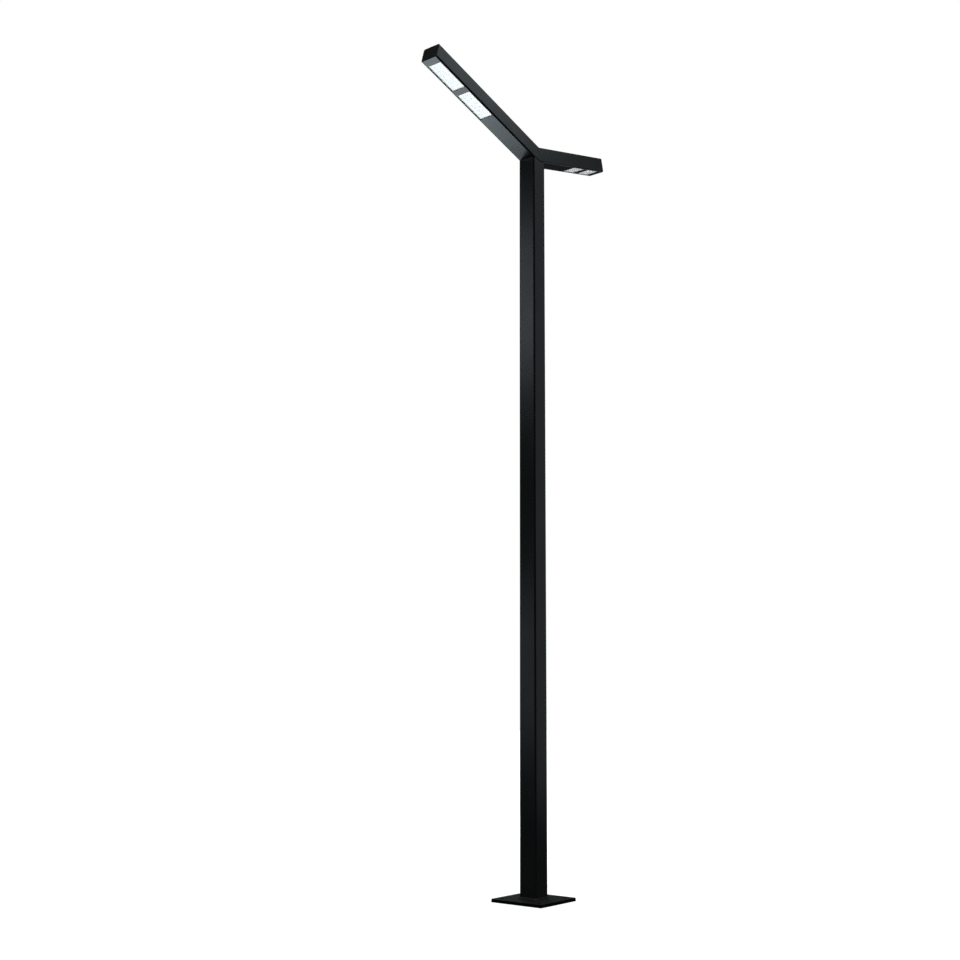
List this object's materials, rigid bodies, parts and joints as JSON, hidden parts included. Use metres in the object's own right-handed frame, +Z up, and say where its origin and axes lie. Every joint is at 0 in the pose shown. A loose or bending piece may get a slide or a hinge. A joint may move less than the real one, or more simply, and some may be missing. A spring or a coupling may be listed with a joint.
{
  "type": "street lamp post",
  "caption": "Square steel street lamp post on a bolted base plate, with a long and a short arm tilted up, flush light windows below them, and a locked access door.",
  "frame": {"origin": "centre of the base plate's underside, on the ground", "axes": "+Z up along the post, -X towards the long arm, +X towards the short arm, +Y out of the access door"},
  "size_m": [1.5082, 0.3, 4.1377],
  "materials": {
    "painted_steel": "fine textured powder coat, near black",
    "painted_cap": "powder coated, near black",
    "window_glass": "toughened, clear",
    "white_silicone": "matte",
    "lens_plastic": "white reflector with clear lenses",
    "led_chip": "phosphor over white ceramic",
    "circuit_board": "white solder mask",
    "heat_sink_aluminium": "extruded, bead blasted",
    "stainless_steel": "satin",
    "galvanised_steel": "zinc plated",
    "driver_case": "satin",
    "black_rubber": "matte",
    "lock_metal": "satin nickel",
    "brass": "bare",
    "grey_plastic": "moulded",
    "cover_plastic": "moulded",
    "dark_plastic": "moulded"
  },
  "bodies": {
    "post": {"arm_long": "painted_steel", "arm_short": "painted_steel", "base_plate": "painted_steel", "base_weld": "painted_steel", "cable_gland": "grey_plastic", "cover_glass_long_inner": "window_glass", "cover_glass_long_outer": "window_glass", "cover_glass_short_inner": "window_glass", "cover_glass_short_outer": "window_glass", "door_frame": "galvanised_steel", "door_gasket": "black_rubber", "driver_bracket_long": "galvanised_steel", "driver_bracket_short": "galvanised_steel", "driver_screws": "stainless_steel", "earth_terminal": "brass", "end_cap_long": "painted_cap", "end_cap_screws": "stainless_steel", "end_cap_short": "painted_cap", "fuse_box": "grey_plastic", "fuse_box_cover": "cover_plastic", "fuse_carrier": "dark_plastic", "gear_tray": "galvanised_steel", "heat_sink_long_inner": "heat_sink_aluminium", "heat_sink_long_outer": "heat_sink_aluminium", "heat_sink_short_inner": "heat_sink_aluminium", "heat_sink_short_outer": "heat_sink_aluminium", "hinge_knuckles": "painted_steel", "hinge_pins": "stainless_steel", "led_board_long_inner": "circuit_board", "led_board_long_outer": "circuit_board", "led_board_short_inner": "circuit_board", "led_board_short_outer": "circuit_board", "led_chips_long_inner": "led_chip", "led_chips_long_outer": "led_chip", "led_chips_short_inner": "led_chip", "led_chips_short_outer": "led_chip", "led_driver_long": "driver_case", "led_driver_short": "driver_case", "lens_plate_long_inner": "lens_plastic", "lens_plate_long_outer": "lens_plastic", "lens_plate_short_inner": "lens_plastic", "lens_plate_short_outer": "lens_plastic", "module_screws_long_inner": "stainless_steel", "module_screws_long_outer": "stainless_steel", "module_screws_short_inner": "stainless_steel", "module_screws_short_outer": "stainless_steel", "post_tube": "painted_steel", "surge_protector": "dark_plastic", "tray_nuts": "stainless_steel", "tray_studs": "stainless_steel", "window_gasket_long_inner": "white_silicone", "window_gasket_long_outer": "white_silicone", "window_gasket_short_inner": "white_silicone", "window_gasket_short_outer": "white_silicone"},
    "door": {"access_door": "painted_steel", "hinge_leaves": "painted_steel", "lock_barrel": "lock_metal"},
    "lock": {"lock_rotor": "lock_metal", "lock_cam": "lock_metal"}
  },
  "joints": [
    {"name": "door_hinge", "type": "hinge", "parent": "post", "child": "door", "pos_m": [0.038, 0.0545, 0.7], "axis": [0, 0, -1], "range_deg": [0, 120]},
    {"name": "lock_turn", "type": "hinge", "parent": "door", "child": "lock", "pos_m": [-0.02, 0.05, 0.7], "axis": [0, 1, 0], "range_deg": [0, 90]}
  ]
}
